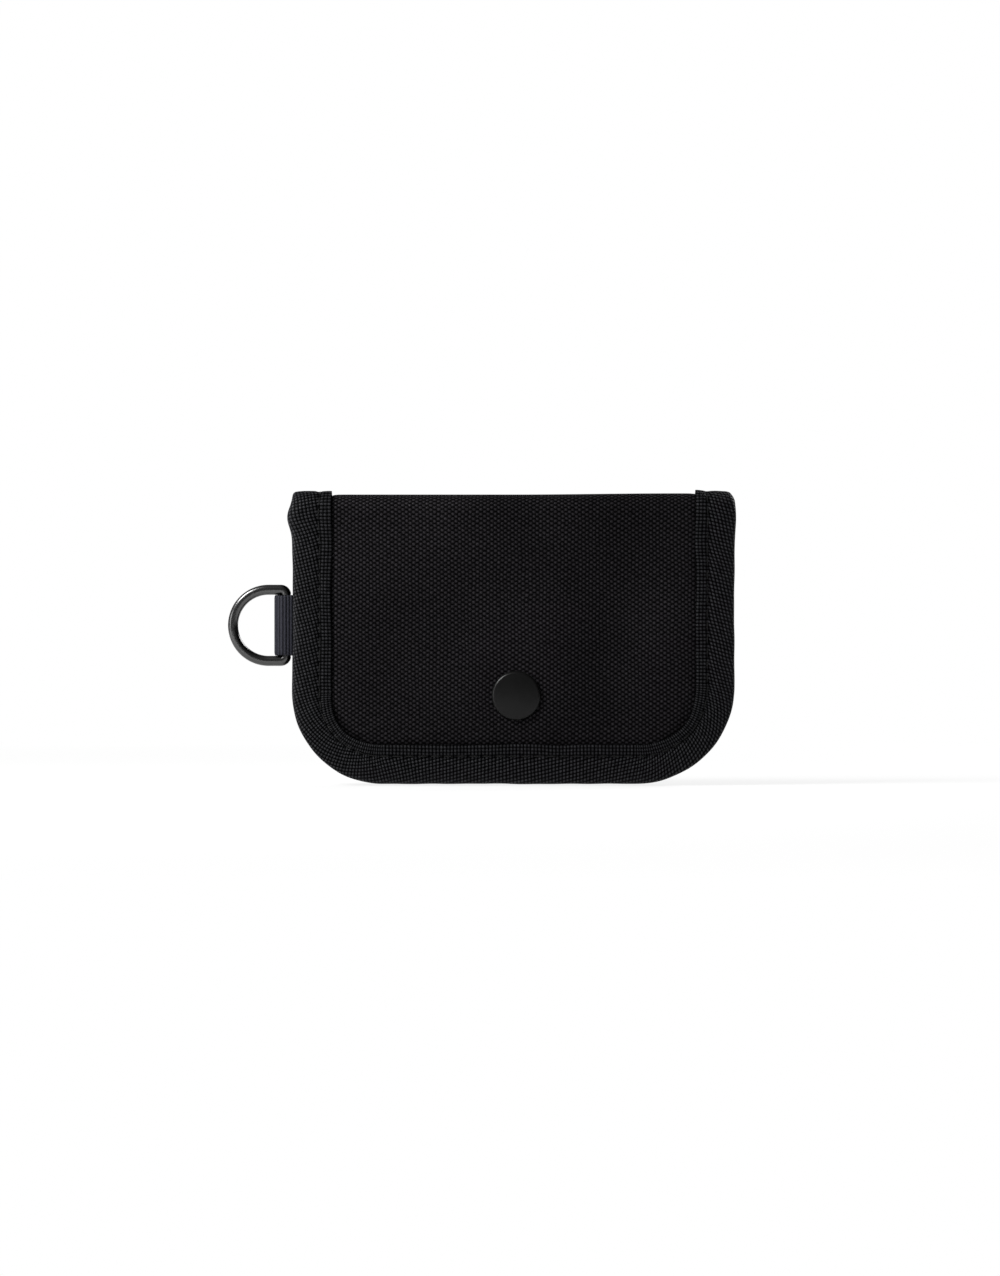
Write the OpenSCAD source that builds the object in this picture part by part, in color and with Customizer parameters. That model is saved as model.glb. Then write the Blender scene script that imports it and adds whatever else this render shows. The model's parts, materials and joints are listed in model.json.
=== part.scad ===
// Passport holder wallet. One bound cloth cover folds over the top edge and
// comes down in front as a flap. The back half carries a passport pocket and a
// card pocket, a press snap holds the flap, and a webbing tab on the left edge
// carries a D-ring.
//
// Frame: the back face lies on y = 0 and its centre is the origin. +Z is up and
// +X is to the right of a person who faces the flap, which is toward -Y.
// "Depth" is the distance of a layer in front of the back face, and "inset" is
// the distance inward from the bound outer edge. Millimetres.

/* [Wallet] */
// Width over the bound edges
body_w = 164; // [156:1:190]
// Closed height, from the bottom edge to the top of the fold
body_h = 108; // [104:1:130]
// Outer radius of the two bottom corners
corner_r = 34; // [30:1:38]

/* [Cloth] */
// Thickness of the woven outer cloth
shell_t = 0.8; // [0.6:0.1:1]
// Thickness of the foam inside the back and the flap
foam_t = 1; // [0.8:0.1:1.6]
// Thickness of the lining
lining_t = 0.3; // [0.2:0.05:0.4]
// Clearance between neighbouring layers
layer_gap = 0.05; // [0.02:0.01:0.06]

/* [Pockets] */
// Clear depth of the passport pocket
passport_gap = 3.6; // [3.4:0.1:5]
// Thickness of the passport pocket's cloth
passport_cloth_t = 0.6; // [0.5:0.1:0.7]
// Height of the passport pocket's mouth above mid-height
passport_mouth_z = 32; // [24:1:38]
// Clear depth of the card pocket
card_gap = 1.3; // [1.2:0.1:2]
// Thickness of the card pocket's cloth
card_cloth_t = 0.7; // [0.6:0.1:0.8]
// Height of the card pocket's mouth above mid-height
card_mouth_z = 4; // [-2:1:14]

/* [Binding] */
// Thickness of the binding tape
tape_t = 0.8; // [0.6:0.1:1]
// Width of the tape's leg on the outer cloth
tape_outer_w = 14.6; // [12:0.2:15]
// Width of the tape's leg on the lining side
tape_inner_w = 10.2; // [9:0.2:10.4]

/* [Snap] */
// Snap centre, to the right of the middle
snap_x = 1; // [-4:0.5:4]
// Snap centre, below mid-height
snap_drop = 21.3; // [18:0.1:24]
// Clear depth between the card pocket and the flap, filled by the snap
snap_gap = 3; // [3:0.1:3.6]
// Radius of the cap
cap_r = 9.1; // [8:0.1:10]
// Height of the cap above the flap
cap_h = 1.9; // [1.7:0.1:2.4]
// Outer radius of the cap's and the eyelet's tubular posts
post_r = 2; // [1.8:0.1:2.1]

/* [D-ring] */
// Height of the ring's centre above mid-height
ring_z = 4.7; // [0:0.1:10]
// Radius of the ring's bow, to the middle of the stock
bow_r = 13.2; // [13:0.1:14]
// Width of the ring's stock in the plane of the ring
stock_w = 3.75; // [3.2:0.05:3.8]
// Thickness of the ring's stock
stock_t = 3.4; // [3:0.1:3.6]
// Length of each arm, from the bow to the bar
arm_len = 6.5; // [5:0.1:9]
// Distance from the bound edge out to the middle of the bar
bar_out = 2.4; // [2.4:0.1:3]
// Width of the webbing in the tab
webbing_w = 22; // [18:0.5:22]
// Thickness of the webbing
webbing_t = 1; // [0.8:0.1:1.1]

/* [Hidden] */
$fn = 96;

cloth_colour = [0.10, 0.09, 0.11];
tape_colour = [0.08, 0.08, 0.09];
lining_colour = [0.16, 0.16, 0.18];
foam_colour = [0.45, 0.45, 0.47];
metal_colour = [0.22, 0.22, 0.23];
webbing_colour = [0.17, 0.17, 0.21];

half_w = body_w / 2;
bottom_z = -body_h / 2;

// Layer stack in the middle of a panel, the same for the back and the flap
panel_t = shell_t + foam_t + lining_t;
passport_cloth_depth = panel_t + passport_gap;
card_cloth_depth = passport_cloth_depth + passport_cloth_t + card_gap;
pocket_face = card_cloth_depth + card_cloth_t;
body_t = pocket_face + snap_gap + panel_t;

// Layer stack at the bound edge, where the foam stops and the layers meet
shell_rim = tape_t + layer_gap;
lining_rim = shell_rim + shell_t + layer_gap;
passport_rim = lining_rim + lining_t + layer_gap;
card_rim = passport_rim + passport_cloth_t + layer_gap;
flap_edge_t = passport_rim + tape_t;
back_edge_t = card_rim + card_cloth_t + layer_gap + tape_t;

// Where the layers start, step and become flat, as insets
layer_inset = 2.2;
step_inset = tape_outer_w + 0.1;
step_run = 1.5;
foam_inset = step_inset + step_run + 0.8;
flat_inset = corner_r - 6;
card_wall_inset = tape_inner_w + 0.1;
passport_wall_inset = card_wall_inset + card_cloth_t + 0.6;
wall_run = 0.4;

// The fold is a half round of body_t across. It opens on two hinge lines, each
// placed so that the outer cloth keeps its length from closed to flat.
fold_r = body_t / 2;
fold_z = body_h / 2 - fold_r;
hinge_cut_deg = 45;
cut_gap_deg = 1;

// Pocket mouth trims
trim_t = 0.4;
trim_leg = 7;
mouth_side_inset = passport_wall_inset + passport_cloth_t + wall_run + 0.2;

// Snap parts, as depths and radii
hole_r = post_r + 0.1;
post_wall = 0.5;
eyelet_flange_r = 5;
eyelet_flange_t = 0.3;
stud_flange_r = 5.5;
stud_flange_t = 0.4;
stud_neck_r = 2.75;
stud_head_r = 3;
stud_h = 2.2;
stud_head_h = 0.6;
socket_r = 6.5;
socket_bore_r = 3.4;
socket_plate_t = 0.4;
socket_h = 2.35;
socket_groove_r = 5.2;
socket_groove_h = 0.7;
wire_r = 0.25;
wire_x = 3.4;
wire_half_len = 1.2;
flap_inner_depth = body_t - panel_t;
socket_depth = flap_inner_depth - 0.02 - socket_h;
groove_depth = socket_depth + 0.35;

// Ring and tab
bar_r = 1.7;
bar_x = -half_w - bar_out;
bore_r = bar_r + 0.2;
stock_bevel = 0.7;
tab_slack = 1.1;
tab_depth = back_edge_t + 0.15;
tab_start_x = -half_w + back_edge_t / 2 + 0.4;
tab_end_x = -half_w + tape_inner_w - 0.2;
ring_depth = tab_depth + webbing_t + 0.95;

// ---- Building blocks ----

// Outline of a panel seen from the front, set in from the bound edge, with
// straight sides up to the given height and two round bottom corners.
module outline(inset, top) {
    r = corner_r - inset;
    w = half_w - inset;
    floor_z = bottom_z + inset;
    for (side = [-1, 1]) {
        translate([side * (w - r), floor_z + r]) circle(r);
    }
    translate([-(w - r), floor_z]) square([2 * (w - r), r]);
    translate([-w, floor_z + r]) square([2 * w, top - floor_z - r]);
}

// A sheet parallel to the back face, its back side at the given depth.
module layer(depth, thickness) {
    translate([0, -depth, 0]) rotate([90, 0, 0]) linear_extrude(thickness) children();
}

// Carries a section (x = inset, y = depth) down one side, round the bottom and
// up the other side.
module run_round_edge(top) {
    r = corner_r;
    for (side = [0, 1]) mirror([side, 0, 0]) {
        translate([half_w, 0, bottom_z + r])
            linear_extrude(top - bottom_z - r) rotate(180) children();
        translate([half_w - r, 0, bottom_z + r]) rotate([90, 0, 0]) rotate([0, 0, 270])
            rotate_extrude(angle = 90) translate([r, 0]) mirror([1, 0]) children();
    }
    translate([-(half_w - r), 0, bottom_z]) rotate([90, 0, 90])
        linear_extrude(2 * (half_w - r)) rotate(90) children();
}

// Revolves a profile (x = distance from the fold's centre line, y = place along
// X) through part of the fold. 0 degrees is the back face, 180 the flap.
module turn_in_fold(from_deg, to_deg) {
    translate([0, -fold_r, fold_z]) rotate([90, 0, 90]) rotate([0, 0, from_deg])
        rotate_extrude(angle = to_deg - from_deg) children();
}

// Carries an edge section through part of the fold, on both sides.
module run_over_fold(from_deg, to_deg) {
    turn_in_fold(from_deg, to_deg) {
        translate([fold_r, half_w]) mirror([0, 1]) rotate(90) children();
        translate([fold_r, -half_w]) rotate(90) children();
    }
}

// Section of a sheet that steps from its depth at the rim to its depth in the
// field. The step starts at step_at and takes run; lean keeps it thick.
module sheet_section(rim, field, thickness, step_at, run, lean) {
    offset_u = field > rim ? lean : -lean;
    back_u = step_at + max(offset_u, 0);
    front_u = step_at + max(-offset_u, 0);
    polygon([
        [layer_inset, rim], [back_u, rim], [back_u + run, field], [flat_inset + 1, field],
        [flat_inset + 1, field + thickness], [front_u + run, field + thickness],
        [front_u, rim + thickness], [layer_inset, rim + thickness]
    ]);
}

// A sheet with a stepped rim and a flat field.
module stepped_sheet(rim, field, thickness, step_at, run, lean, top) {
    run_round_edge(top) sheet_section(rim, field, thickness, step_at, run, lean);
    layer(field, thickness) outline(flat_inset, top);
}

// The same sheet where it passes round part of the fold.
module sheet_in_fold(rim, field, thickness, from_deg, to_deg) {
    run_over_fold(from_deg, to_deg)
        sheet_section(rim, field, thickness, step_inset, step_run, thickness / 3);
    turn_in_fold(from_deg, to_deg)
        translate([fold_r - field - thickness, -(half_w - flat_inset)])
            square([thickness, 2 * (half_w - flat_inset)]);
}

// One half of the cover up to its hinge line, used for the back and the flap.
module cover_half(rim, field, thickness) {
    stepped_sheet(rim, field, thickness, step_inset, step_run, thickness / 3, fold_z);
    sheet_in_fold(rim, field, thickness, 0, hinge_cut_deg - cut_gap_deg);
}

// The strip of the cover between the two hinge lines.
module cover_spine(rim, field, thickness) {
    sheet_in_fold(rim, field, thickness, hinge_cut_deg + cut_gap_deg,
        180 - hinge_cut_deg - cut_gap_deg);
}

// Turns something built on the back into the same thing on the flap.
module on_flap() {
    translate([0, -body_t, 0]) mirror([0, 1, 0]) children();
}

// Section of the binding tape, folded round an edge of the given thickness.
module tape_section(edge_t) {
    nose_r = edge_t / 2;
    difference() {
        union() {
            translate([nose_r, nose_r]) circle(nose_r);
            translate([nose_r, 0]) square([tape_outer_w - nose_r, tape_t]);
            translate([nose_r, edge_t - tape_t]) square([tape_inner_w - nose_r, tape_t]);
        }
        translate([nose_r, nose_r]) circle(nose_r - tape_t);
        translate([nose_r, tape_t]) square([tape_outer_w, edge_t - 2 * tape_t]);
    }
}

// Binding of one half of the cover, up to its hinge line.
module binding_half(edge_t) {
    run_round_edge(fold_z) tape_section(edge_t);
    run_over_fold(0, hinge_cut_deg - cut_gap_deg) tape_section(edge_t);
}

// Foam sheet of one half of the cover.
module foam_half() {
    layer(shell_t + layer_gap / 2, foam_t - layer_gap) outline(foam_inset, fold_z);
}

// Places something on the snap's axis: its z becomes depth.
module on_snap_axis(depth) {
    translate([snap_x, -depth, -snap_drop]) rotate([90, 0, 0]) children();
}

module snap_hole() {
    on_snap_axis(-1) cylinder(r = hole_r, h = body_t + 2);
}

// Tape folded over a pocket's mouth, legs on both faces of the pocket cloth.
module mouth_trim(cloth_depth, cloth_t, mouth_z) {
    w = 2 * (half_w - mouth_side_inset);
    inner_t = cloth_t + 2 * layer_gap;
    difference() {
        translate([-w / 2, -cloth_depth - cloth_t - layer_gap - trim_t, mouth_z - trim_leg])
            cube([w, inner_t + 2 * trim_t, trim_leg + layer_gap + trim_t]);
        translate([-w / 2 - 1, -cloth_depth - cloth_t - layer_gap, mouth_z - trim_leg - 1])
            cube([w + 2, inner_t, trim_leg + 1 + layer_gap]);
    }
}

// ---- Back ----

// Outer cloth of the back.
module shell_back() {
    color(cloth_colour) cover_half(shell_rim, 0, shell_t);
}

// Foam sheet between the outer cloth and the lining.
module foam_back() {
    color(foam_colour) foam_half();
}

// Lining of the back, which is also the passport pocket's rear wall.
module lining_back() {
    color(lining_colour) cover_half(lining_rim, panel_t - lining_t, lining_t);
}

// Pocket for the booklet, closed at the sides and the bottom, open at the top.
module passport_pocket() {
    color(lining_colour)
        stepped_sheet(passport_rim, passport_cloth_depth, passport_cloth_t,
            passport_wall_inset, wall_run, passport_cloth_t, passport_mouth_z);
}

module passport_pocket_trim() {
    color(tape_colour)
        mouth_trim(passport_cloth_depth, passport_cloth_t, passport_mouth_z);
}

// Shorter pocket in front of it, pierced for the snap.
module card_pocket() {
    color(lining_colour) difference() {
        stepped_sheet(card_rim, card_cloth_depth, card_cloth_t,
            card_wall_inset, wall_run, card_cloth_t, card_mouth_z);
        snap_hole();
    }
}

module card_pocket_trim() {
    color(tape_colour) mouth_trim(card_cloth_depth, card_cloth_t, card_mouth_z);
}

module binding_back() {
    color(tape_colour) binding_half(back_edge_t);
}

// ---- Spine, between the two hinge lines ----

module shell_spine() {
    color(cloth_colour) cover_spine(shell_rim, 0, shell_t);
}

module lining_spine() {
    color(lining_colour) cover_spine(lining_rim, panel_t - lining_t, lining_t);
}

module binding_spine() {
    color(tape_colour)
        run_over_fold(hinge_cut_deg + cut_gap_deg, 180 - hinge_cut_deg - cut_gap_deg)
            tape_section(flap_edge_t);
}

// ---- Flap ----

module shell_flap() {
    color(cloth_colour) difference() {
        on_flap() cover_half(shell_rim, 0, shell_t);
        snap_hole();
    }
}

module foam_flap() {
    color(foam_colour) difference() {
        on_flap() foam_half();
        snap_hole();
    }
}

module lining_flap() {
    color(lining_colour) difference() {
        on_flap() cover_half(lining_rim, panel_t - lining_t, lining_t);
        snap_hole();
    }
}

module binding_flap() {
    color(tape_colour) on_flap() binding_half(flap_edge_t);
}

// ---- Snap ----

// Cap on the outside of the flap. Its post goes through the flap and is flared
// over inside the socket.
module snap_cap() {
    rim_r = 1.1;
    skin_t = 0.7;
    lip_w = 0.8;
    flare_t = 0.15;
    flare_r = 2.9;
    face = 0.02;
    post_depth = flap_inner_depth - socket_plate_t - flare_t - 0.06;
    post_len = body_t + cap_h - skin_t / 2 - post_depth;
    color(metal_colour) {
        on_snap_axis(body_t + face) rotate_extrude() difference() {
            union() {
                square([cap_r - rim_r, cap_h]);
                square([cap_r, cap_h - rim_r]);
                translate([cap_r - rim_r, cap_h - rim_r]) circle(rim_r);
            }
            translate([0, -1]) square([cap_r - lip_w, cap_h - skin_t + 1]);
            translate([0, -1]) square([cap_r, 1]);
            translate([-2 * rim_r, -1]) square([2 * rim_r, cap_h + 2]);
        }
        on_snap_axis(post_depth) rotate_extrude() {
            translate([post_r - post_wall, 0]) square([post_wall, post_len]);
            translate([post_r - post_wall, 0]) square([flare_r - post_r + post_wall, flare_t]);
        }
    }
}

// Socket under the flap, with a groove for the spring.
module snap_socket() {
    color(metal_colour) on_snap_axis(socket_depth) difference() {
        cylinder(r = socket_r, h = socket_h);
        translate([0, 0, -1]) cylinder(r = socket_bore_r, h = socket_h - socket_plate_t + 1);
        translate([0, 0, -1]) cylinder(r = hole_r, h = socket_h + 2);
        translate([0, 0, groove_depth - socket_depth])
            cylinder(r = socket_groove_r, h = socket_groove_h);
    }
}

// Wire spring in the socket: two straight wires beside the stud, joined at
// their ends, drawn spread as far as the stud's head needs.
module snap_spring() {
    color("silver") on_snap_axis(groove_depth + socket_groove_h / 2) {
        for (side = [-1, 1]) translate([side * wire_x, -wire_half_len, 0])
            rotate([-90, 0, 0]) cylinder(r = wire_r, h = 2 * wire_half_len);
        for (turn = [0, 180]) rotate([0, 0, turn]) translate([0, wire_half_len, 0])
            rotate_extrude(angle = 180) translate([wire_x, 0]) circle(wire_r);
    }
}

// Stud on the front of the card pocket.
module snap_stud() {
    head_round = 0.25;
    seat = 0.02;
    color(metal_colour) on_snap_axis(pocket_face + seat) difference() {
        rotate_extrude() {
            square([stud_flange_r, stud_flange_t]);
            square([stud_neck_r, stud_h - head_round]);
            square([stud_head_r - head_round, stud_h]);
            translate([0, stud_h - stud_head_h]) square([stud_head_r, stud_head_h - head_round]);
            translate([stud_head_r - head_round, stud_h - head_round]) circle(head_round);
        }
        translate([0, 0, -1]) cylinder(r = hole_r, h = stud_h - stud_flange_t + 1);
    }
}

// Eyelet behind the card pocket. Its post holds the stud.
module snap_eyelet() {
    flange_depth = card_cloth_depth - 0.02 - eyelet_flange_t;
    post_len = eyelet_flange_t + card_cloth_t + stud_h - stud_flange_t - 0.1;
    color(metal_colour) on_snap_axis(flange_depth) difference() {
        union() {
            cylinder(r = eyelet_flange_r, h = eyelet_flange_t);
            cylinder(r = post_r, h = post_len);
        }
        translate([0, 0, -1]) cylinder(r = post_r - post_wall, h = post_len + 2);
    }
}

// ---- Tab and ring ----

// Webbing folded round the ring's bar, both ends sewn on the inner face of the
// back's bound edge.
module ring_tab() {
    loop_r = bore_r + webbing_t;
    nose_x = bar_x - tab_slack;
    pinch = 0.15;
    color(webbing_colour) translate([0, 0, ring_z - webbing_w / 2])
        linear_extrude(webbing_w) difference() {
            union() {
                hull() {
                    translate([nose_x, -ring_depth]) circle(loop_r, $fn = 32);
                    translate([tab_start_x, -tab_depth - 2 * webbing_t])
                        square([pinch, 2 * webbing_t]);
                }
                translate([tab_start_x, -tab_depth - 2 * webbing_t])
                    square([tab_end_x - tab_start_x, 2 * webbing_t]);
            }
            hull() {
                translate([nose_x, -ring_depth]) circle(bore_r, $fn = 32);
                translate([bar_x, -ring_depth]) circle(bore_r, $fn = 32);
                translate([-half_w + 0.6, -tab_depth - webbing_t]) circle(pinch, $fn = 32);
            }
        }
}

// Section of the ring's stock, a bevelled rectangle.
module stock_section() {
    w = stock_w / 2;
    t = stock_t / 2;
    b = stock_bevel;
    polygon([[w, -t + b], [w, t - b], [w - b, t], [-w + b, t],
        [-w, t - b], [-w, -t + b], [-w + b, -t], [w - b, -t]]);
}

// D-ring: a half-round bow, two straight arms, two tight bends and a round bar
// inside the tab.
module d_ring() {
    bend_r = stock_w / 2 + 0.05;
    straight = arm_len - bend_r;
    color(metal_colour) translate([bar_x, -ring_depth, ring_z]) {
        translate([-arm_len, 0, 0]) rotate([90, 0, 0]) rotate([0, 0, 90])
            rotate_extrude(angle = 180) translate([bow_r, 0]) stock_section();
        for (side = [0, 1]) mirror([0, 0, side]) {
            translate([-arm_len, 0, bow_r]) rotate([90, 0, 90])
                linear_extrude(straight) rotate(90) stock_section();
            translate([-bend_r, 0, bow_r - bend_r]) rotate([90, 0, 0])
                rotate_extrude(angle = 90) translate([bend_r, 0]) stock_section();
        }
        translate([0, 0, bend_r - bow_r]) cylinder(r = bar_r, h = 2 * (bow_r - bend_r));
    }
}

shell_back();
foam_back();
lining_back();
passport_pocket();
passport_pocket_trim();
card_pocket();
card_pocket_trim();
binding_back();
shell_spine();
lining_spine();
binding_spine();
shell_flap();
foam_flap();
lining_flap();
binding_flap();
snap_cap();
snap_socket();
snap_spring();
snap_stud();
snap_eyelet();
ring_tab();
d_ring();
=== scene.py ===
"""Looks of the passport holder wallet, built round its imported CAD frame.

The work is in millimetres in the CAD frame: +X right, +Z up, the back face on
y = 0 and the flap toward -Y. "Inset" is the distance in from the bound edge,
"depth" the distance inward from a panel's outer face, and "height" the distance
up the cloth, which runs on past FOLD_Z round the fold to the crown.
"""

import json
import math

import bmesh
import bpy
import numpy as np
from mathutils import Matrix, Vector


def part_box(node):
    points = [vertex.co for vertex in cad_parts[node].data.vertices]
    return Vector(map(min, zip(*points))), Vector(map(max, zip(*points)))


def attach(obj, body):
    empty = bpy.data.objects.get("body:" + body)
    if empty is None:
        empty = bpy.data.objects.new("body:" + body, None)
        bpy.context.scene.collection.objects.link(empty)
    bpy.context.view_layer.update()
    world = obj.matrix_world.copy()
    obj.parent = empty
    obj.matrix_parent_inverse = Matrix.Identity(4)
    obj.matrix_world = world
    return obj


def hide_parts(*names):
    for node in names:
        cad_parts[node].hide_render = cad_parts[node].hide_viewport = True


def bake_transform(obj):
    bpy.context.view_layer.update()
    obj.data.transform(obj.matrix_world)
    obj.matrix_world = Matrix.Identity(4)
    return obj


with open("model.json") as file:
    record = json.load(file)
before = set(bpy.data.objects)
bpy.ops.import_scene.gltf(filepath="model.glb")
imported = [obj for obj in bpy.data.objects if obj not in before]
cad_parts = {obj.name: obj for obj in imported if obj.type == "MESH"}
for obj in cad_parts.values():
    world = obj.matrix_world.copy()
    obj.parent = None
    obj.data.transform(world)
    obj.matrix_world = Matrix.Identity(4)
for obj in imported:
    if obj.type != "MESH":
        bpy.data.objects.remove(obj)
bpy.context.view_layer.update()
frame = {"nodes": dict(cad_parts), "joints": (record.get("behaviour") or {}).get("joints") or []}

MM = 0.001


def box_mm(node):
    """Lowest and highest corner of a CAD node, in millimetres."""
    low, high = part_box(node)
    return np.array(low) / MM, np.array(high) / MM


# ---- Sizes, from the frame ----

HALF_W = box_mm("binding_back")[1][0]
BOTTOM = box_mm("binding_back")[0][2]
TOP = box_mm("shell_spine")[1][2]
BODY_T = -box_mm("shell_flap")[0][1]
FOLD_R = BODY_T / 2
FOLD_Z = TOP - FOLD_R
CROWN = FOLD_Z + FOLD_R * math.pi / 2

SNAP_LOW, SNAP_HIGH = box_mm("snap_cap")
SNAP_X = (SNAP_LOW[0] + SNAP_HIGH[0]) / 2
SNAP_Z = (SNAP_LOW[2] + SNAP_HIGH[2]) / 2
CAP_R = (SNAP_HIGH[0] - SNAP_LOW[0]) / 2
CAP_FRONT = -SNAP_LOW[1]

RING_LOW, RING_HIGH = box_mm("d_ring")
TAB_LOW, TAB_HIGH = box_mm("ring_tab")
BAR_X, BAR_Y, BAR_Z = next(
    np.array(joint["pos_m"]) / MM for joint in frame["joints"] if joint["name"] == "ring_swing")

PASSPORT_MOUTH = box_mm("passport_pocket")[1][2]
PASSPORT_FACE = -box_mm("passport_pocket")[0][1]
CARD_MOUTH = box_mm("card_pocket")[1][2]
CARD_FACE = -box_mm("card_pocket")[0][1]

# ---- Sizes of the soft pieces ----

LEFT, RIGHT = -1, 1
CORNER_R = {LEFT: 33.7, RIGHT: 36.8}
SHELL_T = 0.8
LINING_T = 0.3
LINING_DEPTH = 1.75
FOAM_INSET = 17.5
LAYER_INSET = 2.6

TAPE_T = 0.8
TAPE_OUTER_W = 14.6
TAPE_INNER_W = 10.2
TAPE_STITCH = 10.0
BACK_EDGE_T = 4.25
FLAP_EDGE_T = 2.85

# Thread pitches, across and up where they differ
CLOTH_PITCH = (1.31, 0.855)
TAPE_PITCH = 1.31
POCKET_PITCH = (0.75, 0.60)
RIBBON_PITCH = (0.696, 0.40)
LINING_PITCH = (0.42, 0.42)
WEBBING_RIB = 1.16
WEBBING_THREAD = 0.45
THREAD_TWIST = 0.55


# ---- Outline and fold ----

# The bound edge stands out just below the fold and is drawn in on top of it
SWELL_OUT = {LEFT: 1.75, RIGHT: 0.45}
SWELL_AT = FOLD_Z - 2.8
SWELL_REACH = 5.0
DRAWN_IN = {LEFT: 0.2, RIGHT: 1.1}
DRAWN_IN_FROM = FOLD_Z + 3.7
WAIST = 0.35
WAIST_AT = 8
WAIST_REACH = 22


def smooth(low, high, value):
    """0 below low, 1 above high and a smooth rise between them."""
    t = np.clip((value - low) / (high - low), 0, 1)
    return t * t * (3 - 2 * t)


def ripple(run, seed, lengths=(61, 37, 23, 13)):
    """Smooth irregular wave between about -1 and 1; seed sets its phases."""
    total = 0
    for k, length in enumerate(lengths):
        total = total + np.sin(2 * math.pi * run / length + seed * (k + 1.7))
    return total / len(lengths)


def swell(height, side):
    """How far the bound edge stands out from its even line at a height."""
    out = SWELL_OUT[side] * np.exp(-((height - SWELL_AT) / SWELL_REACH) ** 2)
    drawn_in = DRAWN_IN[side] * smooth(DRAWN_IN_FROM, CROWN, height)
    waist = WAIST * np.exp(-((height - WAIST_AT) / WAIST_REACH) ** 2)
    return out - drawn_in - waist


def near_edge(inset):
    """1 at the bound edge, falling to 0 at the tape's inner line."""
    return np.clip(1 - inset / TAPE_OUTER_W, 0, 1)


def half_width(height, inset, side):
    """Distance from the middle to the line at this inset, at each height."""
    r = CORNER_R[side] - inset
    below = np.clip(BOTTOM + CORNER_R[side] - height, 0, r)
    swollen = swell(height, side) * near_edge(inset)
    return HALF_W - inset - (r - np.sqrt(r * r - below * below)) + swollen


def inset_at(x, height):
    """Distance from the bound edge."""
    r = np.where(x < 0, CORNER_R[LEFT], CORNER_R[RIGHT])
    dx = np.abs(x) - (HALF_W - r)
    dz = BOTTOM + r - height
    straight = np.minimum(HALF_W - np.abs(x), height - BOTTOM)
    return np.where((dx > 0) & (dz > 0), r - np.hypot(dx, dz), straight)


def from_snap(x, height):
    """Distance from the snap's axis."""
    return np.hypot(x - SNAP_X, height - SNAP_Z)


def triples(x, y, z):
    """Points, or cloth coordinates, from their three parts."""
    return np.stack(np.broadcast_arrays(x, y, z), -1)


def wrap(side, x, height, depth):
    """Place in space of a point of the cover: side is "back" or "flap"."""
    turn = np.clip((height - FOLD_Z) / FOLD_R, 0, math.pi / 2)
    reach = FOLD_R - depth
    y = -FOLD_R + reach * np.cos(turn)
    z = np.where(height < FOLD_Z, height, FOLD_Z + reach * np.sin(turn))
    if side == "flap":
        y = -BODY_T - y
    return triples(x, y, z)


def spread(height, inset, columns):
    """x of points spread evenly from the left to the right line at this inset."""
    share = np.linspace(-1, 1, columns)[None, :]
    return np.where(share < 0, share * half_width(height, inset, LEFT),
                    share * half_width(height, inset, RIGHT))


def panel_grid(inset, top, columns, row_step):
    """x and height of a grid that fills the outline at this inset up to top."""
    r = max(CORNER_R.values()) - inset
    turn = np.linspace(0, math.pi / 2, 16)[:-1]
    corner = BOTTOM + inset + r * (1 - np.cos(turn))
    straight_from = BOTTOM + inset + r
    straight_to = min(top, FOLD_Z)
    count = int((straight_to - straight_from) / row_step) + 2
    rows = [corner, np.linspace(straight_from, straight_to, count)]
    if top > FOLD_Z:
        rows.append(np.linspace(FOLD_Z, top, 16)[1:])
    height = np.concatenate(rows)[:, None]
    x = spread(height, inset, columns)
    return x, np.broadcast_to(height, x.shape)


def flat_cloth(x, height):
    """Cloth coordinates of an upright weave, kept above zero."""
    return triples(x + 200, height + 200, 0.0)


# ---- Mesh building ----

def point_numbers(points):
    """Numbers the points of a grid row by row."""
    rows, columns = points.shape[:2]
    return np.arange(rows * columns).reshape(rows, columns)


def add_object(name, data):
    made = bpy.data.objects.new(name, data)
    bpy.context.scene.collection.objects.link(made)
    return made


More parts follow.
